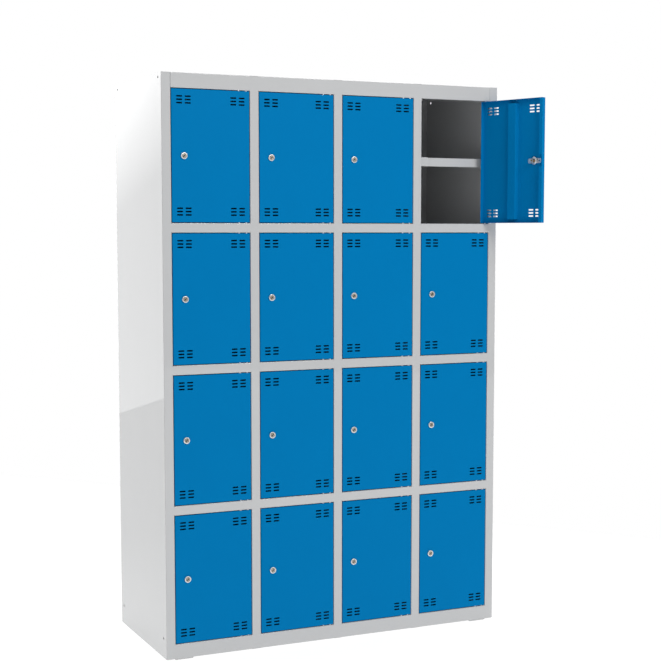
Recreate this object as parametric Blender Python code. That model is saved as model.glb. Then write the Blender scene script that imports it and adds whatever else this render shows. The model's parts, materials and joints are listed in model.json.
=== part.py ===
"""Sixteen-compartment steel locker: four columns of four inset doors, one of them standing open.

Metres, +Z up. The origin is on the floor under the middle of the carcass, and the doors face -Y.
Rows count from the top and columns from the left, so door_r1c4 is the open one at the top right.
"""

import math

import bmesh
import bpy
from mathutils import Matrix, Vector

# Overall size
WIDTH = 1.200
DEPTH = 0.500
HEIGHT = 1.850
COLUMNS = 4
ROWS = 4

# Sheet metal and fits
SHEET = 0.0008
CLEAR = 0.0003
OVERLAP = 0.0002  # how far two shapes reach into each other before they are joined

# Face frame
STILE = 0.030
RAIL = 0.030
END_RAIL = 0.047
STILE_RETURN = 0.0252
RAIL_RETURN = 0.020
REAR_FLANGE = 0.020
FOOT_LENGTH = 0.060
FOOT_DEPTH = 0.040
FOOT_HEIGHT = 0.004
FOOT_INSET = 0.030
LINK_HOLE_RADIUS = 0.004
LINK_HOLE_FRONT = 0.030
LINK_HOLE_REAR = 0.030
LINK_HOLE_TOP = 0.0145
LINK_HOLE_BOTTOM = 0.063

# Compartments
SHELF_LIP = 0.029
SHELF_SETBACK = 0.040
STRAP_WIDTH = 0.040

# Door leaves
DOOR_GAP = 0.00225
DOOR_FLANGE = 0.016
DOOR_LIP = 0.012  # second fold of the flange beside the lock
LIP_NOTCH = 0.020  # half the gap in that fold, level with the lock
SLOT_LENGTH = 0.020
SLOT_HEIGHT = 0.005
SLOT_PITCH_X = 0.028
SLOT_PITCH_Z = 0.0103
SLOT_EDGE_X = 0.018  # from the opening's side to the nearest slot end
SLOT_EDGE_Z = 0.025  # from the opening's top or bottom to the first slot's middle
STIFFENER_FACE = 0.036
STIFFENER_FOOT = 0.012
STIFFENER_HEIGHT = 0.012
STIFFENER_END = 0.012  # from the leaf's edge to the stiffener's end
PIN_INSET = 0.0125  # hinge axis from the opening's right side
PIN_BACK = 0.005  # hinge axis behind the door's face
PIN_RADIUS = 0.002
PIN_LENGTH = 0.0055
PIN_HOLE_RADIUS = 0.003
OPEN_DOOR = (1, 4)
OPEN_ANGLE = math.radians(110)

# Cam locks
LOCK_INSET = 0.042  # lock axis from the opening's left side
RIM_RADIUS = 0.011
RIM_FRONT = 0.005
BARREL_RADIUS = 0.009
BARREL_LENGTH = 0.0080
NUT_RADIUS = 0.0140
NUT_BACK = 0.0068
PLATE_LENGTH = 0.054
PLATE_HEIGHT = 0.016
PLATE_FRONT = 0.0011
PLATE_BACK = 0.0027
PLUG_RADIUS = 0.0065
PLUG_BORE_RADIUS = 0.0069
PLUG_LENGTH = 0.0083
SPINDLE_RADIUS = 0.004
KEY_SLOT_LENGTH = 0.009
KEY_SLOT_WIDTH = 0.0018
KEY_SLOT_DEPTH = 0.009
ROUND_SIDES = 12
PIN_SIDES = 6
HOLE_SIDES = 8
CAM_REACH = 0.0145
CAM_WIDTH = 0.011
CAM_FRONT = 0.0183
CAM_BACK = 0.0199
KEEPER_FRONT = 0.0168
KEEPER_REACH = 0.0330
KEEPER_HEIGHT = 0.028

# Worked out from the driving dimensions
FRONT = -DEPTH / 2
REAR = DEPTH / 2
BASE = FOOT_HEIGHT
OPENING_WIDTH = (WIDTH - (COLUMNS + 1) * STILE) / COLUMNS
COLUMN_PITCH = OPENING_WIDTH + STILE
OPENING_HEIGHT = (HEIGHT - BASE - 2 * END_RAIL - (ROWS - 1) * RAIL) / ROWS
ROW_PITCH = OPENING_HEIGHT + RAIL
DOOR_WIDTH = OPENING_WIDTH - 2 * DOOR_GAP
DOOR_HEIGHT = OPENING_HEIGHT - 2 * DOOR_GAP
WALL_REAR = REAR - 0.0025  # where the dividers and shelves end, in front of the back panel

GREY = (0.54, 0.54, 0.54, 1.0)
BLUE = (0.0, 0.184, 0.462, 1.0)
SILVER = (0.75, 0.75, 0.76, 1.0)


def opening_left(column):
    return -WIDTH / 2 + STILE + (column - 1) * COLUMN_PITCH


def opening_bottom(row):
    return BASE + END_RAIL + (ROWS - row) * ROW_PITCH


def material(name, colour, roughness, metallic=0.0):
    made = bpy.data.materials.new(name)
    made.use_nodes = True
    shader = made.node_tree.nodes["Principled BSDF"]
    shader.inputs["Base Color"].default_value = colour
    shader.inputs["Roughness"].default_value = roughness
    shader.inputs["Metallic"].default_value = metallic
    return made


def mesh_from(bm, name):
    bmesh.ops.recalc_face_normals(bm, faces=bm.faces)
    mesh = bpy.data.meshes.new(name)
    bm.to_mesh(mesh)
    bm.free()
    return mesh


def box(low, high):
    """A box between two corners."""
    bm = bmesh.new()
    size = Vector(high) - Vector(low)
    middle = (Vector(high) + Vector(low)) / 2
    bmesh.ops.create_cube(bm, size=1.0, matrix=Matrix.Translation(middle) @ Matrix.Diagonal((*size, 1.0)))
    return mesh_from(bm, "box")


def prism(outline, start, end, axis):
    """An outline of two coordinates, drawn out along the axis from start to end."""
    bm = bmesh.new()
    corners = []
    for first, second in outline:
        place = {"X": (start, first, second), "Y": (first, start, second), "Z": (first, second, start)}
        corners.append(bm.verts.new(place[axis]))
    face = bm.faces.new(corners)
    drawn = bmesh.ops.extrude_face_region(bm, geom=[face])
    step = Vector([(end - start) * (letter == axis) for letter in "XYZ"])
    far_end = [item for item in drawn["geom"] if isinstance(item, bmesh.types.BMVert)]
    bmesh.ops.translate(bm, verts=far_end, vec=step)
    return mesh_from(bm, "prism")


def rod(radius, start, end, axis, sides):
    """A many-sided rod along the axis through the origin."""
    outline = []
    for index in range(sides):
        angle = 2 * math.pi * index / sides
        outline.append((radius * math.cos(angle), radius * math.sin(angle)))
    return prism(outline, start, end, axis)


def moved(mesh, place):
    mesh.transform(Matrix.Translation(place))
    return mesh


def joined(meshes):
    """Several closed meshes in one, for use as a single cutter."""
    bm = bmesh.new()
    for mesh in meshes:
        bm.from_mesh(mesh)
    return mesh_from(bm, "joined")


def boolean(base, tools, operation):
    """The base mesh united with each tool, or with each tool cut away, as a new mesh."""
    body = bpy.data.objects.new("body", base)
    bpy.context.scene.collection.objects.link(body)
    helpers = []
    for tool in tools:
        helper = bpy.data.objects.new("tool", tool)
        bpy.context.scene.collection.objects.link(helper)
        modifier = body.modifiers.new("boolean", "BOOLEAN")
        modifier.solver = "EXACT"
        modifier.operation = operation
        modifier.object = helper
        helpers.append(helper)
    graph = bpy.context.evaluated_depsgraph_get()
    result = bpy.data.meshes.new_from_object(body.evaluated_get(graph))
    for used in [body, *helpers]:
        bpy.data.objects.remove(used)
    return result


def node(name, mesh, paint, parent=None, place=(0, 0, 0)):
    mesh.materials.clear()
    mesh.materials.append(paint)
    made = bpy.data.objects.new(name, mesh)
    made.location = place
    made.parent = parent
    bpy.context.scene.collection.objects.link(made)
    return made


def keeper(left, row):
    """The tab that a cam turns in behind, reaching into the opening from its left side."""
    middle = opening_bottom(row) + OPENING_HEIGHT / 2
    low = (left - SHEET / 2, FRONT + KEEPER_FRONT, middle - KEEPER_HEIGHT / 2)
    high = (left + KEEPER_REACH, FRONT + KEEPER_FRONT + SHEET, middle + KEEPER_HEIGHT / 2)
    return box(low, high)


def side_panel(side, paint):
    """Side sheet with the front stile, its return and the rear flange folded inwards; side is -1 or 1."""
    outer = side * WIDTH / 2
    inner = outer - side * SHEET
    stile = outer - side * STILE
    stile_wall = stile + side * SHEET
    flange = outer - side * REAR_FLANGE
    outline = [
        (outer, FRONT),
        (outer, REAR),
        (flange, REAR),
        (flange, REAR - SHEET),
        (inner, REAR - SHEET),
        (inner, FRONT + SHEET),
        (stile_wall, FRONT + SHEET),
        (stile_wall, FRONT + STILE_RETURN),
        (stile, FRONT + STILE_RETURN),
        (stile, FRONT),
    ]
    panel = prism(outline, BASE, HEIGHT, "Z")
    holes = []
    for y in (FRONT + LINK_HOLE_FRONT, REAR - LINK_HOLE_REAR):
        for z in (BASE + LINK_HOLE_BOTTOM, HEIGHT - LINK_HOLE_TOP):
            hole = rod(LINK_HOLE_RADIUS, -STILE / 4, STILE / 4, "X", HOLE_SIDES)
            holes.append(moved(hole, (outer, y, z)))
    panel = boolean(panel, [joined(holes)], "DIFFERENCE")
    if side < 0:
        tabs = [keeper(opening_left(1), row) for row in range(1, ROWS + 1)]
        panel = boolean(panel, tabs, "UNION")
    node("side_panel_left" if side < 0 else "side_panel_right", panel, paint)


def divider(number, paint):
    """Front mullion with two returns, and the single wall behind it; its right return has four keepers."""
    middle = opening_left(number + 1) - STILE / 2
    half = STILE / 2
    web = SHEET / 2
    outline = [
        (middle - half, FRONT),
        (middle + half, FRONT),
        (middle + half, FRONT + STILE_RETURN),
        (middle + half - SHEET, FRONT + STILE_RETURN),
        (middle + half - SHEET, FRONT + SHEET),
        (middle + web, FRONT + SHEET),
        (middle + web, WALL_REAR),
        (middle - web, WALL_REAR),
        (middle - web, FRONT + SHEET),
        (middle - half + SHEET, FRONT + SHEET),
        (middle - half + SHEET, FRONT + STILE_RETURN),
        (middle - half, FRONT + STILE_RETURN),
    ]
    wall = prism(outline, BASE + SHEET + CLEAR, HEIGHT - SHEET - CLEAR, "Z")
    tabs = [keeper(opening_left(number + 1), row) for row in range(1, ROWS + 1)]
    node(f"divider_{number}", boolean(wall, tabs, "UNION"), paint)


def back_panel(paint):
    """Plain sheet lying against the side panels' rear flanges."""
    half = WIDTH / 2 - SHEET - CLEAR
    rear = REAR - SHEET - CLEAR
    low = (-half, rear - SHEET, BASE + SHEET + CLEAR)
    high = (half, rear, HEIGHT - SHEET - CLEAR)
    node("back_panel", box(low, high), paint)


def pin_hole(column, z):
    """Cutter for the hole that a hinge pin turns in."""
    x = opening_left(column) + OPENING_WIDTH - PIN_INSET
    return moved(rod(PIN_HOLE_RADIUS, -SHEET * 2, SHEET * 2, "Z", PIN_SIDES), (x, FRONT + PIN_BACK, z))


def stile_hollow(side):
    """Left and right limits of a tab that fits inside the hollow stile of a side panel; side is -1 or 1."""
    return sorted((side * (WIDTH / 2 - SHEET - CLEAR), side * (WIDTH / 2 - STILE + SHEET + CLEAR)))


def end_panel(name, outer, inward, paint):
    """Roof sheet or base tray with its front rail folded between the mullions; inward is -1 or 1 along Z."""
    half = WIDTH / 2 - SHEET - CLEAR
    between = WIDTH / 2 - STILE - CLEAR
    wall_front = FRONT + STILE_RETURN + CLEAR
    rail_end = outer + inward * END_RAIL
    rail_inner = rail_end - inward * SHEET
    bottom, top = sorted((outer, outer + inward * SHEET))
    sheet = box((-half, wall_front, bottom), (half, REAR - SHEET - CLEAR, top))
    pieces = [box((-between, FRONT, bottom), (between, wall_front + OVERLAP, top))]
    for side in (-1, 1):
        low, high = stile_hollow(side)
        pieces.append(box((low, FRONT + SHEET + CLEAR, bottom), (high, wall_front + OVERLAP, top)))
    outline = [
        (FRONT, outer + inward * OVERLAP),
        (FRONT, rail_end),
        (FRONT + RAIL_RETURN, rail_end),
        (FRONT + RAIL_RETURN, rail_inner),
        (FRONT + SHEET, rail_inner),
        (FRONT + SHEET, outer + inward * OVERLAP),
    ]
    for column in range(1, COLUMNS + 1):
        left = opening_left(column) + CLEAR
        pieces.append(prism(outline, left, left + OPENING_WIDTH - 2 * CLEAR, "X"))
    if inward > 0:
        pieces.extend(feet())
    holes = [pin_hole(column, rail_end) for column in range(1, COLUMNS + 1)]
    panel = boolean(sheet, pieces, "UNION")
    node(name, boolean(panel, [joined(holes)], "DIFFERENCE"), paint)


def feet():
    """Four low pads under the corners of the base."""
    pads = []
    for side in (-1, 1):
        for y in (FRONT + SHEET + CLEAR, WALL_REAR - FOOT_DEPTH):
            x = side * (WIDTH / 2 - FOOT_INSET - FOOT_LENGTH / 2)
            low = (x - FOOT_LENGTH / 2, y, 0.0)
            high = (x + FOOT_LENGTH / 2, y + FOOT_DEPTH, BASE + OVERLAP)
            pads.append(box(low, high))
    return pads


def column_walls(column):
    """Left and right ends of the shelves of a column, clear of the walls beside it."""
    left = opening_left(column) - STILE / 2 + SHEET / 2 + CLEAR
    right = left - CLEAR - SHEET / 2 + COLUMN_PITCH - SHEET / 2 - CLEAR
    if column == 1:
        left = -WIDTH / 2 + SHEET + CLEAR
    if column == COLUMNS:
        right = WIDTH / 2 - SHEET - CLEAR
    return left, right


def floor_meshes(column, row):
    """Compartment floor; above another compartment its front is folded down into the cross rail."""
    left, right = column_walls(column)
    top = opening_bottom(row)
    wall_front = FRONT + STILE_RETURN + CLEAR
    if row == ROWS:
        front = FRONT + RAIL_RETURN + CLEAR
        narrow = box(
            (opening_left(column) + CLEAR, front, top - SHEET),
            (opening_left(column) + OPENING_WIDTH - CLEAR, wall_front + OVERLAP, top),
        )
    else:
        bottom = top - RAIL
        outline = [
            (FRONT, top),
            (wall_front + OVERLAP, top),
            (wall_front + OVERLAP, top - SHEET),
            (FRONT + SHEET, top - SHEET),
            (FRONT + SHEET, bottom + SHEET),
            (FRONT + RAIL_RETURN, bottom + SHEET),
            (FRONT + RAIL_RETURN, bottom),
            (FRONT, bottom),
        ]
        start = opening_left(column) + CLEAR
        narrow = prism(outline, start, start + OPENING_WIDTH - 2 * CLEAR, "X")
    pieces = [narrow, box((left, wall_front, top - SHEET), (right, WALL_REAR, top))]
    for side, end in ((-1, 1), (1, COLUMNS)):
        if column == end:
            low, high = stile_hollow(side)
            tab_front = FRONT + SHEET + CLEAR
            pieces.append(box((low, tab_front, top - SHEET), (high, wall_front + OVERLAP, top)))
    return pieces


def shelf_mesh(column, row):
    """Half-height shelf with its front folded down into a lip."""
    left, right = column_walls(column)
    top = opening_bottom(row) + OPENING_HEIGHT / 2 + SHELF_LIP / 2
    front = FRONT + SHELF_SETBACK
    outline = [
        (front, top),
        (WALL_REAR, top),
        (WALL_REAR, top - SHEET),
        (front + SHEET, top - SHEET),
        (front + SHEET, top - SHELF_LIP),
        (front, top - SHELF_LIP),
    ]
    return prism(outline, left, right, "X")


def shelf_stack(column, paint):
    """All floors and half-height shelves of one column, welded to a strap up the back."""
    middle = opening_left(column) + OPENING_WIDTH / 2
    plates = []
    holes = []
    for row in range(1, ROWS + 1):
        plates.extend(floor_meshes(column, row))
        plates.append(shelf_mesh(column, row))
        if row < ROWS:
            holes.append(pin_hole(column, opening_bottom(row)))
            holes.append(pin_hole(column, opening_bottom(row) - RAIL))
    strap_low = (middle - STRAP_WIDTH / 2, WALL_REAR - SHEET, opening_bottom(ROWS) - SHEET)
    strap_high = (middle + STRAP_WIDTH / 2, WALL_REAR, opening_bottom(1) + OPENING_HEIGHT)
    stack = boolean(box(strap_low, strap_high), plates, "UNION")
    node(f"shelf_stack_{column}", boolean(stack, [joined(holes)], "DIFFERENCE"), paint)


def slot_boxes():
    """Cutters for the vent slots of a door leaf, about the leaf's hinge axis."""
    left = PIN_INSET - OPENING_WIDTH
    half = OPENING_HEIGHT / 2
    first = SLOT_EDGE_X + SLOT_LENGTH / 2
    boxes = []
    for across in (first, first + SLOT_PITCH_X, OPENING_WIDTH - first - SLOT_PITCH_X, OPENING_WIDTH - first):
        for step in range(3):
            for z in (half - SLOT_EDGE_Z - step * SLOT_PITCH_Z, -half + SLOT_EDGE_Z + step * SLOT_PITCH_Z):
                x = left + across
                low = (x - SLOT_LENGTH / 2, -2 * PIN_BACK, z - SLOT_HEIGHT / 2)
                high = (x + SLOT_LENGTH / 2, 0.0, z + SLOT_HEIGHT / 2)
                boxes.append(box(low, high))
    return boxes


def door_mesh():
    """Door leaf about its hinge axis, closed: flanged pan with a lip, stiffener, slots, lock hole and pins."""
    right = PIN_INSET - DOOR_GAP
    left = right - DOOR_WIDTH
    half = DOOR_HEIGHT / 2
    face = -PIN_BACK
    inner = face + SHEET
    back = face + DOOR_FLANGE
    pan = boolean(
        box((left, face, -half), (right, back, half)),
        [box((left + SHEET, inner, -half + SHEET), (right - SHEET, back + SHEET, half - SHEET))],
        "DIFFERENCE",
    )
    middle = (left + right) / 2
    crown = STIFFENER_FACE / 2
    foot = crown + STIFFENER_FOOT
    top = inner + STIFFENER_HEIGHT
    hat = [
        (middle - foot, inner - OVERLAP),
        (middle - foot, inner + SHEET),
        (middle - crown, inner + SHEET),
        (middle - crown, top),
        (middle + crown, top),
        (middle + crown, inner + SHEET),
        (middle + foot, inner + SHEET),
        (middle + foot, inner - OVERLAP),
        (middle + crown - SHEET, inner - OVERLAP),
        (middle + crown - SHEET, top - SHEET),
        (middle - crown + SHEET, top - SHEET),
        (middle - crown + SHEET, inner - OVERLAP),
    ]
    reach = half - STIFFENER_END
    pins = [
        rod(PIN_RADIUS, half - SHEET / 2, half + PIN_LENGTH, "Z", PIN_SIDES),
        rod(PIN_RADIUS, -half - PIN_LENGTH, -half + SHEET / 2, "Z", PIN_SIDES),
    ]
    lips = []
    for low, high in ((SHEET / 2 - half, -LIP_NOTCH), (LIP_NOTCH, half - SHEET / 2)):
        lips.append(box((left + SHEET / 2, back - SHEET, low), (left + DOOR_LIP, back, high)))
    leaf = boolean(pan, [*lips, prism(hat, -reach, reach, "Z"), *pins], "UNION")
    lock_hole = moved(rod(BARREL_RADIUS + CLEAR, -2 * PIN_BACK, 0.0, "Y", ROUND_SIDES), (lock_x(), 0, 0))
    leaf = boolean(leaf, [joined([*slot_boxes(), lock_hole])], "DIFFERENCE")
    leaf.name = "door_leaf"
    return leaf


def lock_x():
    """The lock's axis, measured from the hinge axis of a closed leaf."""
    return PIN_INSET - OPENING_WIDTH + LOCK_INSET


def lock_body_mesh():
    """Rim, barrel, hexagonal nut and retaining plate about the lock's axis; the door's face is at y = 0."""
    rim = rod(RIM_RADIUS, -RIM_FRONT, -CLEAR, "Y", ROUND_SIDES)
    barrel = rod(BARREL_RADIUS, -CLEAR - OVERLAP, BARREL_LENGTH, "Y", ROUND_SIDES)
    nut = rod(NUT_RADIUS, PLATE_BACK - OVERLAP, NUT_BACK, "Y", 6)
    nut.transform(Matrix.Rotation(math.radians(30), 4, "Y"))
    half_length = PLATE_LENGTH / 2
    half_height = PLATE_HEIGHT / 2
    plate = box((-half_length, PLATE_FRONT, -half_height), (half_length, PLATE_BACK, half_height))
    body = boolean(rim, [barrel, nut, plate], "UNION")
    bore = rod(PLUG_BORE_RADIUS, -2 * RIM_FRONT, 2 * BARREL_LENGTH, "Y", ROUND_SIDES)
    body = boolean(body, [bore], "DIFFERENCE")
    body.name = "lock_body"
    return body


def lock_core_mesh():
    """Key plug with its slot at 45 degrees, and a spindle with the cam, turned away from the keeper."""
    plug = rod(PLUG_RADIUS, -RIM_FRONT, PLUG_LENGTH, "Y", ROUND_SIDES)
    slot = box(
        (-KEY_SLOT_LENGTH / 2, -2 * RIM_FRONT, -KEY_SLOT_WIDTH / 2),
        (KEY_SLOT_LENGTH / 2, KEY_SLOT_DEPTH - RIM_FRONT, KEY_SLOT_WIDTH / 2),
    )
    slot.transform(Matrix.Rotation(math.radians(-45), 4, "Y"))
    plug = boolean(plug, [slot], "DIFFERENCE")
    spindle = rod(SPINDLE_RADIUS, PLUG_LENGTH - OVERLAP, CAM_BACK, "Y", HOLE_SIDES)
    cam = box((-CAM_WIDTH / 2, CAM_FRONT, -CAM_WIDTH / 2), (CAM_REACH, CAM_BACK - OVERLAP, CAM_WIDTH / 2))
    core = boolean(plug, [spindle, cam], "UNION")
    core.name = "lock_core"
    return core


def doors(paint, metal):
    """Sixteen leaves on their hinge axes, each with its lock; all leaves share one mesh, and so do the locks."""
    leaf = door_mesh()
    body = lock_body_mesh()
    core = lock_core_mesh()
    for row in range(1, ROWS + 1):
        for column in range(1, COLUMNS + 1):
            tag = f"r{row}c{column}"
            x = opening_left(column) + OPENING_WIDTH - PIN_INSET
            z = opening_bottom(row) + OPENING_HEIGHT / 2
            door = node(f"door_{tag}", leaf, paint, place=(x, FRONT + PIN_BACK, z))
            if (row, column) == OPEN_DOOR:
                door.rotation_euler = (0, 0, OPEN_ANGLE)
            centre = (lock_x(), -PIN_BACK, 0)
            node(f"lock_body_{tag}", body, metal, door, centre)
            node(f"lock_core_{tag}", core, metal, door, centre)


for old in list(bpy.data.objects):
    bpy.data.objects.remove(old)

grey_paint = material("grey_powder_coat", GREY, 0.45)
blue_paint = material("blue_powder_coat", BLUE, 0.40)
zinc = material("nickel_plated_zinc", SILVER, 0.25, 1.0)
side_panel(-1, grey_paint)
side_panel(1, grey_paint)
back_panel(grey_paint)
end_panel("top_panel", HEIGHT, -1, grey_paint)
end_panel("base_panel", BASE, 1, grey_paint)
for number in range(1, COLUMNS):
    divider(number, grey_paint)
for column in range(1, COLUMNS + 1):
    shelf_stack(column, grey_paint)
doors(blue_paint, zinc)
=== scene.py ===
"""The looks of a sixteen-compartment steel locker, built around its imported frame: folded and powder coated
sheet steel, blue door leaves with punched vents, nickel plated cam locks and zinc plated hinge pins."""

import json
import math

import bmesh
import bpy
from mathutils import Matrix, Vector


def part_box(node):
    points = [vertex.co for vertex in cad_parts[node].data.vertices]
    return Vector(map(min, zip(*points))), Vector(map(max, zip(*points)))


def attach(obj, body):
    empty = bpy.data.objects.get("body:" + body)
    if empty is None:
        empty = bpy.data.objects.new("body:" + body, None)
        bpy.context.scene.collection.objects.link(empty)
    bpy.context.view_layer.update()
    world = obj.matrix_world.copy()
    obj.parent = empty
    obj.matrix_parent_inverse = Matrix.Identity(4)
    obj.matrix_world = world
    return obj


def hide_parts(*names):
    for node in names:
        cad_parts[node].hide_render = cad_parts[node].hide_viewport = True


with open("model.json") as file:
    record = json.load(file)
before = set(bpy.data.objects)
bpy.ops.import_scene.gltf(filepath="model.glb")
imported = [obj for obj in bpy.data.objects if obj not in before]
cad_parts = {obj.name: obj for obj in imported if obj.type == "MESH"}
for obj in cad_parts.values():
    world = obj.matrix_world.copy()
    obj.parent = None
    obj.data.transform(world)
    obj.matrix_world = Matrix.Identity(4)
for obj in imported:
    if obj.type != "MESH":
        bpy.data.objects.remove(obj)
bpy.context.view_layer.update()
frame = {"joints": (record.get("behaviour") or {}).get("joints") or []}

MM = 0.001


# ---------------------------------------------------------------------------------------------------
# Studio. A pale floor that glows, more strongly near the locker as painted light that fills its shadow, in a
# white room that is brighter behind the locker, with one softbox in front. The side panel mirrors the
# floor's rear edge and a ceiling, which gives no diffuse light.

def srgb(code):
    """Linear RGBA of an sRGB hex colour."""
    channels = [int(code[place:place + 2], 16) / 255 for place in (1, 3, 5)]
    linear = [c / 12.92 if c <= 0.04045 else ((c + 0.055) / 1.055) ** 2.4 for c in channels]
    return (*linear, 1.0)


def add(tree, kind, inputs=None, **settings):
    """Adds a node with its settings. Each input is a value, or the socket that it is linked from."""
    made = tree.nodes.new(kind)
    for name, value in settings.items():
        setattr(made, name, value)
    for name, value in (inputs or {}).items():
        if isinstance(value, bpy.types.NodeSocket):
            tree.links.new(value, made.inputs[name])
        else:
            made.inputs[name].default_value = value
    return made


def new_material(name):
    """An empty material and its shader tree, ready for its nodes."""
    material = bpy.data.materials.new(name)
    material.use_nodes = True
    material.node_tree.nodes.clear()
    return material, material.node_tree


def pale_floor_with_shadow_filling_glow():
    """Pale matt floor paint that glows so that it has no horizon; the glow is stronger near the middle, as
    painted light that fills the locker's shadow.
    """
    material, tree = new_material("pale_floor_with_shadow_filling_glow")
    place = add(tree, "ShaderNodeTexCoord").outputs["Object"]
    mottle = add(tree, "ShaderNodeTexNoise", {"Vector": place, "Scale": 1 / (90 * MM), "Detail": 3.0})
    tint = add(
        tree,
        "ShaderNodeMix",
        {0: mottle.outputs["Fac"], 6: srgb("#9C9C9B"), 7: srgb("#A0A0A0")},
        data_type="RGBA",
    )
    from_middle = add(tree, "ShaderNodeVectorMath", {0: place}, operation="LENGTH").outputs["Value"]
    # Painted light: the floor glows more near the middle, where the locker's shadow falls.
    glow = add(
        tree,
        "ShaderNodeMapRange",
        {
            "Value": from_middle,
            "From Min": GLOW_FADE_START,
            "From Max": GLOW_FADE_END,
            "To Min": GLOW_NEAR,
            "To Max": GLOW_FAR,
        },
    )
    shader = add(
        tree,
        "ShaderNodeBsdfPrincipled",
        {
            "Base Color": tint.outputs[2],
            "Roughness": 0.9,
            "Specular IOR Level": 0.1,
            "Emission Color": (1.0, 1.0, 1.0, 1.0),
            "Emission Strength": glow.outputs[0],
        },
    )
    add(tree, "ShaderNodeOutputMaterial", {"Surface": shader.outputs[0]})
    return material


FLOOR_HALF = 9
FLOOR_REAR = 1.85
FLOOR_TURN = -51.8
# The glow is GLOW_NEAR within GLOW_FADE_START of the middle, under the locker, and GLOW_FAR beyond
# GLOW_FADE_END; the extra glow near the locker is painted light that fills its shadow.
GLOW_NEAR = 0.82
GLOW_FAR = 0.68
GLOW_FADE_START = 0.8
GLOW_FADE_END = 2.0
floor_mesh = bpy.data.meshes.new("floor")
low_y, high_y = -FLOOR_HALF, FLOOR_REAR
corners = ((-FLOOR_HALF, low_y), (FLOOR_HALF, low_y), (FLOOR_HALF, high_y), (-FLOOR_HALF, high_y))
floor_mesh.from_pydata([(*corner, 0) for corner in corners], [], [(0, 1, 2, 3)])
floor = bpy.data.objects.new("floor", floor_mesh)
floor.rotation_euler.z = math.radians(FLOOR_TURN)
floor.data.materials.append(pale_floor_with_shadow_filling_glow())
bpy.context.scene.collection.objects.link(floor)

ROOM_FRONT = 0.32
ROOM_REAR = 1.61
WALL_FRONT = -0.3
WALL_REAR = 0.9
CEILING_LIGHT = 2.5
CEILING_EDGE = 0.7185
CEILING_FADE = 0.058
ceiling_from = Vector((0.27, 0.82, 0.5)).normalized()

world = bpy.data.worlds.new("white_room")
bpy.context.scene.world = world
world.use_nodes = True
room_tree = world.node_tree
room_tree.nodes.clear()
heading = add(room_tree, "ShaderNodeTexCoord").outputs["Generated"]
back_and_front = add(room_tree, "ShaderNodeSeparateXYZ", {0: heading}).outputs[1]
walls = add(
    room_tree,
    "ShaderNodeMapRange",
    {
        "Value": back_and_front,
        "From Min": WALL_FRONT,
        "From Max": WALL_REAR,
        "To Min": ROOM_FRONT,
        "To Max": ROOM_REAR,
    },
)
up_there = add(room_tree, "ShaderNodeVectorMath", {0: heading, 1: ceiling_from}, operation="DOT_PRODUCT")
ceiling = add(
    room_tree,
    "ShaderNodeMapRange",
    {
        "Value": up_there.outputs["Value"],
        "From Min": CEILING_EDGE,
        "From Max": CEILING_EDGE + CEILING_FADE,
        "To Min": 0.0,
        "To Max": CEILING_LIGHT,
    },
)
ray = add(room_tree, "ShaderNodeLightPath").outputs
mirrored = add(
    room_tree,
    "ShaderNodeMix",
    {0: ray["Is Diffuse Ray"], 2: ceiling.outputs[0], 3: 0.0},
    data_type="FLOAT",
)
lit = add(room_tree, "ShaderNodeMath", {0: walls.outputs[0], 1: mirrored.outputs[0]}, operation="ADD")
strength = add(
    room_tree,
    "ShaderNodeMix",
    {0: ray["Is Camera Ray"], 2: lit.outputs[0], 3: 1.0},
    data_type="FLOAT",
)
room = add(room_tree, "ShaderNodeBackground", {"Color": (1, 1, 1, 1), "Strength": strength.outputs[0]})
add(room_tree, "ShaderNodeOutputWorld", {"Surface": room.outputs[0]})


def softbox(name, place, target, width, height, watts):
    """A rectangular soft light at a place, turned to a target."""
    light = bpy.data.lights.new(name, "AREA")
    light.shape = "RECTANGLE"
    light.size = width
    light.size_y = height
    light.energy = watts
    made = bpy.data.objects.new(name, light)
    made.location = place
    made.rotation_euler = (Vector(target) - Vector(place)).to_track_quat("-Z", "Y").to_euler()
    bpy.context.scene.collection.objects.link(made)


softbox("softbox_front", (0.9, -4.4, 3.9), (0.1, -0.25, 1.3), 2.4, 2.0, 115)

camera = bpy.data.objects.new("camera", bpy.data.cameras.new("camera"))
camera.data.lens = 77.3
camera.data.shift_y = 0.0384
camera.location = (-1.973, -4.470, 1.362)
camera.rotation_euler = (math.radians(90 - 5.02), 0, math.radians(-24.75))
bpy.context.scene.collection.objects.link(camera)
bpy.context.scene.camera = camera
bpy.context.scene.view_settings.view_transform = "Standard"


# ---------------------------------------------------------------------------------------------------
# Side panels. Each is one 0.8 mm steel sheet, folded into a 30 mm stile with a return at the front and
# a flange at the back, with four 8 mm holes for bolting lockers together, powder coated light grey.

SHEET = 0.8 * MM
BEND = 1.5 * MM  # radius of a fold at the middle of the sheet
BEND_STEPS = 4
STILE = 30 * MM
STILE_RETURN = 25.2 * MM
REAR_FLANGE = 20 * MM
LINK_HOLE_RADIUS = 4 * MM
LINK_HOLE_FROM_EDGE = 30 * MM
LINK_HOLE_FROM_TOP = 14.5 * MM
LINK_HOLE_FROM_BASE = 63 * MM
PUNCH_STROKE = 10 * MM
KEEPER_FRONT = 16.8 * MM
KEEPER_REACH = 33 * MM
KEEPER_HEIGHT = 28 * MM
FLAT_AREA = 1500 * MM * MM  # a larger face is flat sheet, and the rest belong to folds and edges


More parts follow.
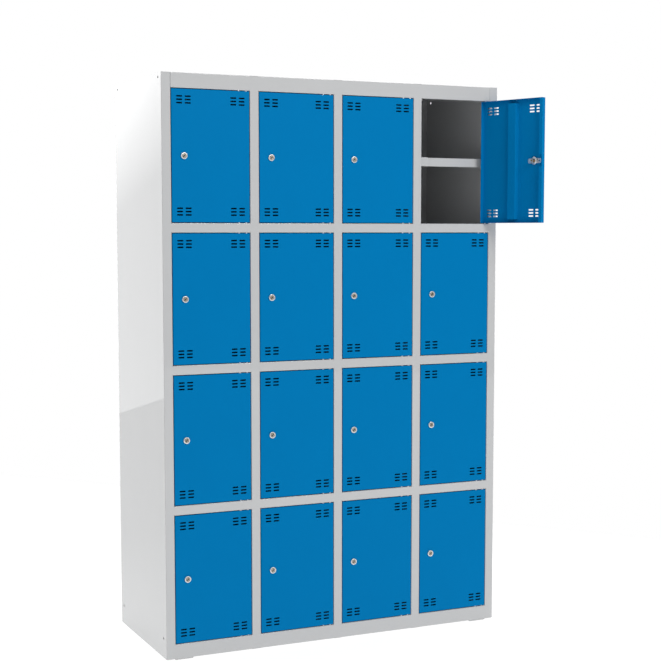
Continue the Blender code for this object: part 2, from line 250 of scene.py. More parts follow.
def powder_coat(name, colour, shade, roughness, specular, gloss_skin):
    """Polyester powder, sprayed dry and baked. It flows out to a skin with a faint orange peel, about 6 mm
    from crest to crest here where the real one is nearer 2 mm. gloss_skin is how much of it is glassy."""
    material, tree = new_material(name)
    place = add(tree, "ShaderNodeTexCoord").outputs["Object"]
    cloud = add(tree, "ShaderNodeTexNoise", {"Vector": place, "Scale": 1 / (120 * MM), "Detail": 2.0})
    peel = add(tree, "ShaderNodeTexNoise", {"Vector": place, "Scale": 1 / (6 * MM), "Detail": 2.0})
    grain = add(tree, "ShaderNodeTexNoise", {"Vector": place, "Scale": 1 / (1.2 * MM), "Detail": 1.0})
    tint = add(
        tree,
        "ShaderNodeMix",
        {0: cloud.outputs["Fac"], 6: srgb(shade), 7: srgb(colour)},
        data_type="RGBA",
    )
    gloss = add(
        tree,
        "ShaderNodeMapRange",
        {"Value": peel.outputs["Fac"], "To Min": roughness - 0.05, "To Max": roughness + 0.06},
    )
    waves = add(tree, "ShaderNodeBump", {"Height": cloud.outputs["Fac"], "Distance": 0.5 * MM})
    skin = add(
        tree,
        "ShaderNodeBump",
        {"Height": peel.outputs["Fac"], "Distance": 0.05 * MM, "Normal": waves.outputs[0]},
    )
    fine = add(
        tree,
        "ShaderNodeBump",
        {"Height": grain.outputs["Fac"], "Distance": 0.012 * MM, "Normal": skin.outputs[0]},
    )
    shader = add(
        tree,
        "ShaderNodeBsdfPrincipled",
        {
            "Base Color": tint.outputs[2],
            "Roughness": gloss.outputs[0],
            "Normal": fine.outputs[0],
            "IOR": 1.5,
            "Specular IOR Level": specular,
            "Coat Weight": gloss_skin,
            "Coat Roughness": 0.02,
        },
    )
    add(tree, "ShaderNodeOutputMaterial", {"Surface": shader.outputs[0]})
    return material


light_grey_powder_coat = powder_coat("light_grey_powder_coat", "#C5C6C7", "#C2C3C4", 0.42, 0.0, 1.0)


def folded(path):
    """The section of a sheet folded along a path of its middle line: rows of points on its left and right
    faces, with every corner rounded to BEND."""
    points = [Vector(point) for point in path]
    rows = []

    def across(heading):
        return Vector((-heading.y, heading.x)) * (SHEET / 2)

    for index, here in enumerate(points):
        if index == 0:
            heading = (points[1] - here).normalized()
            rows.append((here, across(heading)))
            continue
        before = (here - points[index - 1]).normalized()
        if index == len(points) - 1:
            rows.append((here, across(before)))
            continue
        after = (points[index + 1] - here).normalized()
        turn = math.atan2(before.x * after.y - before.y * after.x, before.dot(after))
        side = math.copysign(1.0, turn)
        start = here - before * BEND * math.tan(abs(turn) / 2)
        centre = start + across(before).normalized() * BEND * side
        for step in range(BEND_STEPS + 1):
            heading = Matrix.Rotation(turn * step / BEND_STEPS, 2) @ before
            normal = across(heading)
            rows.append((centre - normal.normalized() * BEND * side, normal))
    left = [middle + normal for middle, normal in rows]
    right = [middle - normal for middle, normal in rows]
    return left, right


def draw_out(bm, section, start, end, axis):
    """A folded section drawn out along an axis from start to end, as one closed shell."""
    left, right = section

    def corner(point, along):
        first, second = point
        places = {"X": (along, first, second), "Y": (first, along, second), "Z": (first, second, along)}
        return bm.verts.new(places[axis])

    rings = [[corner(p, along) for p in [*left, *reversed(right)]] for along in (start, end)]
    count = len(left)
    total = 2 * count
    made = []
    for index in range(total):
        after = (index + 1) % total
        made.append(bm.faces.new((rings[0][index], rings[0][after], rings[1][after], rings[1][index])))
    for ring in rings:
        for index in range(count - 1):
            across = total - 1 - index
            made.append(bm.faces.new((ring[index], ring[index + 1], ring[across - 1], ring[across])))
    bmesh.ops.recalc_face_normals(bm, faces=made)


def block(bm, low, high):
    """A plain flat piece of sheet between two corners."""
    size = Vector(high) - Vector(low)
    middle = (Vector(high) + Vector(low)) / 2
    bmesh.ops.create_cube(bm, size=1.0, matrix=Matrix.Translation(middle) @ Matrix.Diagonal((*size, 1.0)))


def finished(name, bm, *finishes):
    """The mesh of a piece in its finishes: smooth across its folds, with its flat faces kept flat."""
    mesh = bpy.data.meshes.new(name)
    bm.to_mesh(mesh)
    bm.free()
    for finish in finishes:
        mesh.materials.append(finish)
    mesh.set_sharp_from_angle(angle=math.radians(35))
    for face in mesh.polygons:
        face.use_smooth = face.area < FLAT_AREA
    return mesh


def placed(name, mesh, body, nodes=(), place=None):
    """A piece that rides on a body and stands for CAD nodes. Several pieces may share one mesh."""
    piece = bpy.data.objects.new(name, mesh)
    if place is not None:
        piece.matrix_world = place
    bpy.context.scene.collection.objects.link(piece)
    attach(piece, body)
    if nodes:
        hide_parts(*nodes)
    return piece


def punched(bm, cutters):
    """The mesh with every cutter taken out of it, as a new bmesh."""
    bodies = []
    for source in (bm, cutters):
        mesh = bpy.data.meshes.new("punch")
        source.to_mesh(mesh)
        source.free()
        made = bpy.data.objects.new("punch", mesh)
        bpy.context.scene.collection.objects.link(made)
        bodies.append(made)
    cut = bodies[0].modifiers.new("cut", "BOOLEAN")
    cut.solver = "EXACT"
    cut.use_self = True
    cut.operation = "DIFFERENCE"
    cut.object = bodies[1]
    graph = bpy.context.evaluated_depsgraph_get()
    result = bmesh.new()
    result.from_mesh(bodies[0].evaluated_get(graph).to_mesh())
    for made in bodies:
        bpy.data.objects.remove(made)
    return result


def joined(bm, extra, finish=0):
    """Adds a second mesh to this one, with all its faces in one of the piece's finishes."""
    mesh = bpy.data.meshes.new("extra")
    extra.to_mesh(mesh)
    extra.free()
    start = len(bm.faces)
    bm.from_mesh(mesh)
    bm.faces.ensure_lookup_table()
    for face in bm.faces[start:]:
        face.material_index = finish


def round_cutter(bm, centre, radius, length, axis, sides=24, stretch=0.0):
    """A round punch along an axis; stretch draws it out along X into a slot with round ends."""
    quarter = math.pi / 2
    turns = {"X": Matrix.Rotation(quarter, 4, "Y"), "Y": Matrix.Rotation(quarter, 4, "X"), "Z": Matrix()}
    turn = turns[axis]
    made = bmesh.ops.create_cone(
        bm, cap_ends=True, segments=sides, radius1=radius, radius2=radius, depth=length, matrix=turn
    )
    for vert in made["verts"]:
        if stretch:
            vert.co.x += math.copysign(stretch / 2, vert.co.x)
        vert.co += Vector(centre)


def carcass_piece(name, bm, node):
    placed(name, finished(name, bm, light_grey_powder_coat), "carcass", [node])


def part_of(joints, beginning):
    """The joints whose names begin so, by the rest of their name."""
    return {joint["name"][len(beginning):]: joint for joint in joints if joint["name"].startswith(beginning)}


hinges = part_of(frame["joints"], "hinge_")
locks = part_of(frame["joints"], "lock_turn_")
body_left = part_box("side_panel_left")[0].x
body_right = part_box("side_panel_right")[1].x
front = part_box("side_panel_left")[0].y
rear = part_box("side_panel_left")[1].y
body_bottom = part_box("side_panel_left")[0].z
body_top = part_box("side_panel_left")[1].z
lock_heights = sorted({round(hinge["pos_m"][2], 5) for hinge in hinges.values()})


def keepers(bm, left):
    """The four tabs that the cams of one column turn behind, welded to the return on their left."""
    for height in lock_heights:
        low = (left - SHEET, front + KEEPER_FRONT, height - KEEPER_HEIGHT / 2)
        high = (left + KEEPER_REACH, front + KEEPER_FRONT + SHEET, height + KEEPER_HEIGHT / 2)
        block(bm, low, high)


def side_panel(side, node):
    outer = body_left if side < 0 else body_right
    half = SHEET / 2
    inwards = -side
    path = [
        (outer + inwards * REAR_FLANGE, rear - half),
        (outer + inwards * half, rear - half),
        (outer + inwards * half, front + half),
        (outer + inwards * (STILE - half), front + half),
        (outer + inwards * (STILE - half), front + STILE_RETURN),
    ]
    bm = bmesh.new()
    draw_out(bm, folded(path), body_bottom, body_top, "Z")
    holes = bmesh.new()
    for y in (front + LINK_HOLE_FROM_EDGE, rear - LINK_HOLE_FROM_EDGE):
        for z in (body_bottom + LINK_HOLE_FROM_BASE, body_top - LINK_HOLE_FROM_TOP):
            round_cutter(holes, (outer, y, z), LINK_HOLE_RADIUS, PUNCH_STROKE, "X")
    bm = punched(bm, holes)
    if side < 0:
        keepers(bm, body_left + STILE)
    carcass_piece(f"{node}_sheet", bm, node)


side_panel(-1, "side_panel_left")
side_panel(1, "side_panel_right")


# ---------------------------------------------------------------------------------------------------
# Dividers. A 30 mm channel is the mullion seen between two doors, and a single sheet spot welded inside
# it is the wall between two columns. Four keepers stand on the right return.

def divider(node):
    low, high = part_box(node)
    left = low.x
    right = left + STILE
    half = SHEET / 2
    middle = (left + right) / 2
    bm = bmesh.new()
    channel = [
        (left + half, front + STILE_RETURN),
        (left + half, front + half),
        (right - half, front + half),
        (right - half, front + STILE_RETURN),
    ]
    draw_out(bm, folded(channel), low.z, high.z, "Z")
    block(bm, (middle - half, front + SHEET, low.z), (middle + half, high.y, high.z))
    keepers(bm, right)
    carcass_piece(f"{node}_sheet", bm, node)


for number in (1, 2, 3):
    divider(f"divider_{number}")


# ---------------------------------------------------------------------------------------------------
# Roof and base. Each is a sheet whose front is folded into a 47 mm rail in every column, notched where
# the mullions pass. The base stands on four low pressed pads.

END_RAIL = 47 * MM
RAIL_RETURN = 20 * MM
SEAM = 0.3 * MM
PAD_EDGE = 1.2 * MM
PIN_FROM_SIDE = 12.5 * MM
wall_front = front + STILE_RETURN + SEAM
opening_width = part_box("shelf_stack_2")[1].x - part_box("shelf_stack_2")[0].x - STILE + 2 * SEAM + SHEET
hinge_lines = {round(hinge["pos_m"][0], 5) for hinge in hinges.values()}
column_lefts = sorted(line + PIN_FROM_SIDE - opening_width for line in hinge_lines)


def ground_welds(bm, left, low_z, high_z, ends=(0, 1)):
    """Weld between each end of a column's rail and the mullion beside it, ground flush with their faces."""
    bend = BEND + SHEET / 2
    for end in ends:
        low_x = left - bend if end == 0 else left + opening_width - SEAM
        block(bm, (low_x, front, low_z + bend), (low_x + bend + SEAM, front + SHEET, high_z - bend))


def end_panel(node, outer, inward):
    """The roof with inward -1, or the base with inward 1, along Z from its outer face."""
    low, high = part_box(node)
    half = SHEET / 2
    sheet_low, sheet_high = sorted((outer, outer + inward * SHEET))
    bm = bmesh.new()
    block(bm, (low.x, wall_front, sheet_low), (high.x, high.y, sheet_high))
    for left in column_lefts:
        path = [
            (wall_front, outer + inward * half),
            (front + half, outer + inward * half),
            (front + half, outer + inward * (END_RAIL - half)),
            (front + RAIL_RETURN, outer + inward * (END_RAIL - half)),
        ]
        draw_out(bm, folded(path), left + SEAM, left + opening_width - SEAM, "X")
        rail_low, rail_high = sorted((outer, outer + inward * END_RAIL))
        outermost = (column_lefts[0], column_lefts[-1])
        beside_mullions = [end for end in (0, 1) if left != outermost[end]]
        ground_welds(bm, left, rail_low, rail_high, (0, 1) if inward > 0 else beside_mullions)
    for left in column_lefts[1:]:
        block(bm, (left - STILE + SEAM, front, sheet_low), (left - SEAM, wall_front, sheet_high))
    stile_wall = STILE - SHEET - SEAM
    for start, end in ((low.x, body_left + stile_wall), (body_right - stile_wall, high.x)):
        block(bm, (start, front + SHEET + SEAM, sheet_low), (end, wall_front, sheet_high))
    return bm


carcass_piece("top_panel_sheet", end_panel("top_panel", body_top, -1), "top_panel")

base = end_panel("base_panel", body_bottom, 1)
PAD_LENGTH = 60 * MM
PAD_DEPTH = 40 * MM
PAD_INSET = 30 * MM
for side in (-1, 1):
    for pad_front in (front + SHEET + SEAM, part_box("divider_1")[1].y - PAD_DEPTH):
        centre = side * (body_right - PAD_INSET - PAD_LENGTH / 2)
        pad = bmesh.new()
        block(pad, (centre - PAD_LENGTH / 2, pad_front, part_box("base_panel")[0].z),
              (centre + PAD_LENGTH / 2, pad_front + PAD_DEPTH, body_bottom))
        bmesh.ops.bevel(pad, geom=pad.edges[:], offset=PAD_EDGE, segments=3, affect="EDGES", profile=0.5)
        joined(base, pad)
carcass_piece("base_panel_sheet", base, "base_panel")


# ---------------------------------------------------------------------------------------------------
# Back. One flat sheet against the side panels' flanges, held to the dividers and flanges by rows of
# aluminium pop rivets with domed 6 mm heads, painted over with the sheet.

RIVET_RADIUS = 3 * MM
RIVET_HEIGHT = 0.9 * MM
RIVETS_PER_ROW = 9


def rivet(bm, place, facing):
    """A low domed rivet head at a place, facing along a direction."""
    turn = Vector(facing).to_track_quat("Z", "Y").to_matrix().to_4x4()
    made = bmesh.ops.create_uvsphere(bm, u_segments=16, v_segments=8, radius=1.0)
    dome = Matrix.Diagonal((RIVET_RADIUS, RIVET_RADIUS, RIVET_HEIGHT, 1.0))
    squashed = Matrix.Translation(place) @ turn @ dome
    for vert in made["verts"]:
        vert.co.z = max(vert.co.z, 0.0)
        vert.co = squashed @ vert.co


back_low, back_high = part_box("back_panel")
back = bmesh.new()
block(back, back_low, back_high)
rivet_lines = [left - STILE / 2 for left in column_lefts[1:]]
rivet_lines += [body_left + REAR_FLANGE + RIVET_RADIUS * 2, body_right - REAR_FLANGE - RIVET_RADIUS * 2]
for x in rivet_lines:
    for step in range(RIVETS_PER_ROW):
        z = back_low.z + (back_high.z - back_low.z) * (step + 0.5) / RIVETS_PER_ROW
        rivet(back, (x, back_high.y, z), (0, 1, 0))
carcass_piece("back_panel_sheet", back, "back_panel")


# ---------------------------------------------------------------------------------------------------
# Floors and half shelves. A floor's front is folded into the 30 mm cross rail over the door below; a half
# shelf has a 29 mm lip with its edge turned in. All of a column's sheets are welded to a strap behind.

RAIL = 30 * MM
SHELF_LIP = 29 * MM
SHELF_SETBACK = 40 * MM
LIP_RETURN = 12 * MM
STRAP_WIDTH = 40 * MM
PIN_HOLE_RADIUS = 2.6 * MM
PIN_BACK = 5 * MM
PIN_REACH = 5.5 * MM
DOOR_GAP = 2.25 * MM
over_the_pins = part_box("door_r2c2")[1].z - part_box("door_r2c2")[0].z
opening_height = over_the_pins - 2 * PIN_REACH + 2 * DOOR_GAP


def shelf_stack(column):
    node = f"shelf_stack_{column}"
    low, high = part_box(node)
    left = column_lefts[column - 1]
    half = SHEET / 2
    bm = bmesh.new()
    punches = bmesh.new()
    for height in lock_heights:
        floor_top = height - opening_height / 2
        block(bm, (low.x, wall_front, floor_top - SHEET), (high.x, high.y, floor_top))
        for side, end in ((-1, 1), (1, 4)):
            if column == end:
                inset = SHEET + SEAM
                tab = sorted((side * (body_right - inset), side * (body_right - STILE + inset)))
                block(bm, (tab[0], front + inset, floor_top - SHEET), (tab[1], wall_front, floor_top))
        if height == lock_heights[0]:
            block(bm, (left + SEAM, front + RAIL_RETURN + SEAM, floor_top - SHEET),
                  (left + opening_width - SEAM, wall_front, floor_top))
        else:
            path = [
                (wall_front, floor_top - half),
                (front + half, floor_top - half),
                (front + half, floor_top - RAIL + half),
                (front + RAIL_RETURN, floor_top - RAIL + half),
            ]
            draw_out(bm, folded(path), left + SEAM, left + opening_width - SEAM, "X")
            ground_welds(bm, left, floor_top - RAIL, floor_top)
            for z in (floor_top, floor_top - RAIL):
                pin = (left + opening_width - PIN_FROM_SIDE, front + PIN_BACK, z)
                round_cutter(punches, pin, PIN_HOLE_RADIUS, 4 * SHEET, "Z", 16)
        shelf_top = height + SHELF_LIP / 2
        shelf_front = front + SHELF_SETBACK
        lip = [
            (shelf_front + LIP_RETURN, shelf_top - SHELF_LIP + half),
            (shelf_front + half, shelf_top - SHELF_LIP + half),
            (shelf_front + half, shelf_top - half),
            (high.y, shelf_top - half),
        ]
        draw_out(bm, folded(lip), low.x, high.x, "X")
    bm = punched(bm, punches)
    middle = left + opening_width / 2
    strap = STRAP_WIDTH / 2
    block(bm, (middle - strap, high.y - 2 * SHEET, low.z), (middle + strap, high.y - SHEET, high.z))
    carcass_piece(f"{node}_sheets", bm, node)


for column in (1, 2, 3, 4):
    shelf_stack(column)


# ---------------------------------------------------------------------------------------------------
# Door leaves. A 0.8 mm pan with its edges turned back 16 mm and a second fold beside the lock, a vertical
# hat-section stiffener spot welded inside, and punched vent slots in each corner; powder coated blue.

DOOR_FLANGE = 16 * MM
DOOR_LIP = 12 * MM
LIP_NOTCH = 20 * MM  # half the gap in the second fold, level with the lock
PAN_EDGE = 1.4 * MM
SLOT_LENGTH = 20 * MM
SLOT_HEIGHT = 5 * MM
SLOT_PITCH_X = 28 * MM
SLOT_PITCH_Z = 10.3 * MM
SLOT_FROM_SIDE = 18 * MM
SLOT_FROM_TOP = 25 * MM
STIFFENER_FACE = 36 * MM
STIFFENER_FOOT = 12 * MM
STIFFENER_HEIGHT = 12 * MM
STIFFENER_SLOPE = 4 * MM  # across its sloping sides
STIFFENER_END = 12 * MM
LOCK_FROM_SIDE = 42 * MM
LOCK_HOLE_RADIUS = 9.3 * MM
WELD_RADIUS = 2.5 * MM
WELD_HEIGHT = 0.25 * MM
WELD_FROM_EDGE = 4 * MM
WELD_FROM_END = 20 * MM
WELDS = 7

blue_powder_coat = powder_coat("blue_powder_coat", "#0079B7", "#0076B3", 0.42, 0.02, 0.0)
door_width = opening_width - 2 * DOOR_GAP
door_height = opening_height - 2 * DOOR_GAP
leaf_right = PIN_FROM_SIDE - DOOR_GAP
leaf_left = leaf_right - door_width
leaf_face = -PIN_BACK
lock_x = PIN_FROM_SIDE - opening_width + LOCK_FROM_SIDE


def rounded_block(bm, low, high, radius):
    """A block with every edge rounded but those of its back."""
    tray = bmesh.new()
    block(tray, low, high)
    kept = [edge for edge in tray.edges if any(vert.co.y < high[1] - MM / 10 for vert in edge.verts)]
    bmesh.ops.bevel(tray, geom=kept, offset=radius, segments=3, affect="EDGES", profile=0.5)
    joined(bm, tray)


def vent_punches(bm):
    first = SLOT_FROM_SIDE + SLOT_LENGTH / 2
    last = opening_width - first
    half = opening_height / 2
    straight = SLOT_LENGTH - SLOT_HEIGHT
    for across in (first, first + SLOT_PITCH_X, last - SLOT_PITCH_X, last):
        x = PIN_FROM_SIDE - opening_width + across
        for row in range(3):
            drop = half - SLOT_FROM_TOP - row * SLOT_PITCH_Z
            for z in (drop, -drop):
                round_cutter(bm, (x, leaf_face, z), SLOT_HEIGHT / 2, 4 * SHEET, "Y", 16, straight)


def door_leaf():
    bm = bmesh.new()
    half = door_height / 2
    back = leaf_face + DOOR_FLANGE
    rounded_block(bm, (leaf_left, leaf_face, -half), (leaf_right, back, half), PAN_EDGE)
    punches = bmesh.new()
    inside = (leaf_left + SHEET, leaf_face + SHEET, SHEET - half)
    rounded_block(punches, inside, (leaf_right - SHEET, back + SHEET, half - SHEET), PAN_EDGE - SHEET)
    vent_punches(punches)
    round_cutter(punches, (lock_x, leaf_face, 0), LOCK_HOLE_RADIUS, 4 * SHEET, "Y", 32)
    bm = punched(bm, punches)
    middle = (leaf_left + leaf_right) / 2
    crown = STIFFENER_FACE / 2
    foot = crown + STIFFENER_FOOT
    base_line = leaf_face + SHEET * 1.5
    top_line = leaf_face + SHEET + STIFFENER_HEIGHT - SHEET / 2
    slope = STIFFENER_SLOPE / 2
    hat = [
        (middle - foot, base_line),
        (middle - crown - slope, base_line),
        (middle - crown + slope, top_line),
        (middle + crown - slope, top_line),
        (middle + crown + slope, base_line),
        (middle + foot, base_line),
    ]
    reach = half - STIFFENER_END
    draw_out(bm, folded(hat), -reach, reach, "Z")
    for start, end in ((SHEET - half, -LIP_NOTCH), (LIP_NOTCH, half - SHEET)):
        block(bm, (leaf_left + SHEET / 2, back - SHEET, start), (leaf_left + DOOR_LIP, back, end))
    for x in (middle - foot + WELD_FROM_EDGE, middle + foot - WELD_FROM_EDGE):
        for step in range(WELDS):
            z = (step / (WELDS - 1) - 0.5) * 2 * (reach - WELD_FROM_END)
            made = bmesh.ops.create_cone(bm, cap_ends=True, segments=16, radius1=WELD_RADIUS,
                                         radius2=WELD_RADIUS * 0.7, depth=WELD_HEIGHT)
            spot = Matrix.Translation((x, base_line + SHEET / 2 + WELD_HEIGHT / 2, z))
            turn = spot @ Matrix.Rotation(-math.pi / 2, 4, "X")
            bmesh.ops.transform(bm, matrix=turn, verts=made["verts"])
    return finished("door_leaf", bm, blue_powder_coat)


def door_place(tag):
    """Where the hinge axis of a leaf is, and how far the leaf stands open at rest."""
    outward = Vector(locks[tag]["axis"])
    angle = math.atan2(-outward.x, outward.y)
    return Matrix.Translation(hinges[tag]["pos_m"]) @ Matrix.Rotation(angle, 4, "Z")


leaf = door_leaf()
for tag in hinges:
    placed(f"door_leaf_{tag}", leaf, f"door_{tag}", [f"door_{tag}"], door_place(tag))


# ---------------------------------------------------------------------------------------------------
# Hinges. A 4 mm zinc plated steel pin at the top and bottom of each leaf turns in a hole in the rail. A
# moulded white nylon bush on the pin, and a glide 24.5 mm from it, fill the gap and show as small spots.

PIN_RADIUS = 2 * MM
BUSH_RADIUS = 3.4 * MM
BUSH_HEIGHT = 2.0 * MM
BUSH_EDGE = 0.25 * MM
GLIDE_FROM_PIN = 24.5 * MM


def bright_zinc_plate():
    """Bright electroplated zinc, blue-white passivated: a thin silvery skin with a faint mottle."""
    material, tree = new_material("bright_zinc_plate")
    place = add(tree, "ShaderNodeTexCoord").outputs["Object"]
    spangle = add(tree, "ShaderNodeTexNoise", {"Vector": place, "Scale": 1 / (3 * MM), "Detail": 3.0})
    tint = add(
        tree,
        "ShaderNodeMix",
        {0: spangle.outputs["Fac"], 6: srgb("#C9CCD0"), 7: srgb("#E4E6E8")},
        data_type="RGBA",
    )
    gloss = add(
        tree,
        "ShaderNodeMapRange",
        {"Value": spangle.outputs["Fac"], "To Min": 0.22, "To Max": 0.42},
    )
    shader = add(
        tree,
        "ShaderNodeBsdfPrincipled",
        {"Base Color": tint.outputs[2], "Metallic": 1.0, "Roughness": gloss.outputs[0]},
    )
    add(tree, "ShaderNodeOutputMaterial", {"Surface": shader.outputs[0]})
    return material


zinc_plate = bright_zinc_plate()


def moulded_nylon():
    """White nylon as moulded: a soft satin skin, with a little light let in under it."""
    material, tree = new_material("moulded_white_nylon")
    place = add(tree, "ShaderNodeTexCoord").outputs["Object"]
    flow = add(tree, "ShaderNodeTexNoise", {"Vector": place, "Scale": 1 / (1.5 * MM), "Detail": 2.0})
    tint = add(
        tree,
        "ShaderNodeMix",
        {0: flow.outputs["Fac"], 6: srgb("#E9E9E4"), 7: srgb("#F6F6F2")},
        data_type="RGBA",
    )
    gloss = add(tree, "ShaderNodeMapRange", {"Value": flow.outputs["Fac"], "To Min": 0.38, "To Max": 0.52})
    shader = add(
        tree,
        "ShaderNodeBsdfPrincipled",
        {"Base Color": tint.outputs[2], "Roughness": gloss.outputs[0], "IOR": 1.53},
    )
    add(tree, "ShaderNodeOutputMaterial", {"Surface": shader.outputs[0]})
    return material


white_nylon = moulded_nylon()


def hinge_mesh():
    bm = bmesh.new()
    for side in (-1, 1):
        edge = side * door_height / 2
        for x, wide, narrow, reach, finish in (
            (0, PIN_RADIUS, PIN_RADIUS * 0.8, PIN_REACH, 0),
            (0, BUSH_RADIUS, BUSH_RADIUS - BUSH_EDGE, BUSH_HEIGHT, 1),
            (-GLIDE_FROM_PIN, BUSH_RADIUS, BUSH_RADIUS - BUSH_EDGE, BUSH_HEIGHT, 1),
        ):
            start = len(bm.faces)
            made = bmesh.ops.create_cone(
                bm, cap_ends=True, segments=24, radius1=wide, radius2=narrow, depth=reach
            )
            place = Matrix.Translation((x, 0, edge + side * reach / 2))
            if side < 0:
                place = place @ Matrix.Rotation(math.pi, 4, "X")
            bmesh.ops.transform(bm, matrix=place, verts=made["verts"])
            bm.faces.ensure_lookup_table()
            for face in bm.faces[start:]:
                face.material_index = finish
    return finished("hinge", bm, zinc_plate, white_nylon)


hinge = hinge_mesh()
for tag in hinges:
    placed(f"hinge_pins_{tag}", hinge, f"door_{tag}", (), door_place(tag))


# ---------------------------------------------------------------------------------------------------
# Cam locks. A die-cast zinc housing, nickel plated, with a rolled rim in front and a fine thread behind;
# a flat plate with two holes stops it from turning, and a hexagon nut clamps both to the leaf.

RIM_RADIUS = 10.6 * MM
RIM_FRONT = 5 * MM
RIM_BACK = 0.2 * MM  # in front of the leaf
RIM_EDGE = 1.4 * MM
RIM_LAND = 0.9 * MM  # from the flat ring to the bore, across and down
BORE_EDGE = 0.2 * MM
BARREL_RADIUS = 9 * MM
BARREL_LENGTH = 8 * MM
PLUG_BORE_RADIUS = 6.9 * MM
THREAD_START = 6.9 * MM
THREAD_PITCH = 1 * MM
THREAD_DEPTH = 0.5 * MM
NUT_RADIUS = 14 * MM
NUT_FRONT = 2.7 * MM
NUT_BACK = 6.8 * MM
NUT_EDGE = 0.6 * MM
PLATE_LENGTH = 54 * MM
PLATE_HEIGHT = 16 * MM
PLATE_FRONT = 1.1 * MM
PLATE_BACK = 2.7 * MM
PLATE_CORNER = 5 * MM
PLATE_HOLE_RADIUS = 2.6 * MM
PLATE_HOLE_OFFSET = 20 * MM
TURNED_SIDES = 48


def nickel_plate(name, light, dark, rough_low, rough_high):
    """Nickel plate on a turned or cast part: warm silver, with fine turning marks about the lock's axis."""
    material, tree = new_material(name)
    place = add(tree, "ShaderNodeTexCoord").outputs["Object"]
    parts = add(tree, "ShaderNodeSeparateXYZ", {0: place})
    across = add(tree, "ShaderNodeCombineXYZ", {0: parts.outputs[0], 1: parts.outputs[2]})
    from_axis = add(tree, "ShaderNodeVectorMath", {0: across.outputs[0]}, operation="LENGTH")
    rings = add(
        tree,
        "ShaderNodeTexNoise",
        {"W": from_axis.outputs["Value"], "Scale": 1 / (0.35 * MM), "Detail": 2.0},
        noise_dimensions="1D",
    )
    ring = rings.outputs["Fac"]
    tint = add(tree, "ShaderNodeMix", {0: ring, 6: srgb(dark), 7: srgb(light)}, data_type="RGBA")
    gloss = add(tree, "ShaderNodeMapRange", {"Value": ring, "To Min": rough_low, "To Max": rough_high})
    marks = add(tree, "ShaderNodeBump", {"Height": ring, "Distance": 0.006 * MM})
    shader = add(
        tree,
        "ShaderNodeBsdfPrincipled",
        {
            "Base Color": tint.outputs[2],
            "Metallic": 1.0,
            "Roughness": gloss.outputs[0],
            "Normal": marks.outputs[0],
        },
    )
    add(tree, "ShaderNodeOutputMaterial", {"Surface": shader.outputs[0]})
    return material


bright_nickel = nickel_plate("bright_nickel_plate", "#F6F4F0", "#E6E3DE", 0.28, 0.40)
satin_nickel = nickel_plate("satin_nickel_plate", "#B9B4AC", "#989289", 0.34, 0.46)
bare_brass = nickel_plate("turned_brass", "#C9A266", "#A27F4B", 0.25, 0.40)
# Near-black brass for the keyway's walls and wafers: painted shade of the deep, narrow key slot.
keyway_painted_shade = nickel_plate("keyway_brass_dark_as_painted_shade", "#2E2318", "#17120D", 0.45, 0.60)


def turned(bm, profile, sides=TURNED_SIDES, finish=0):
    """A profile of (along, radius) points turned about the Y axis and closed on itself."""
    rings = []
    for along, radius in profile:
        ring = []
        for index in range(sides):
            angle = 2 * math.pi * index / sides
            ring.append(bm.verts.new((radius * math.cos(angle), along, radius * math.sin(angle))))
        rings.append(ring)
    made = []
    for here, after in zip(rings, [*rings[1:], rings[0]]):
        for index in range(sides):
            other = (index + 1) % sides
            made.append(bm.faces.new((here[index], here[other], after[other], after[index])))
    for face in made:
        face.material_index = finish
    bmesh.ops.recalc_face_normals(bm, faces=made)


def rounded(centre, radius, start, end, steps=5):
    """Points of an arc in a turned profile, angles in degrees from the Y axis."""
    points = []
    for step in range(steps + 1):
        angle = math.radians(start + (end - start) * step / steps)
        points.append((centre[0] + radius * math.cos(angle), centre[1] + radius * math.sin(angle)))
    return points


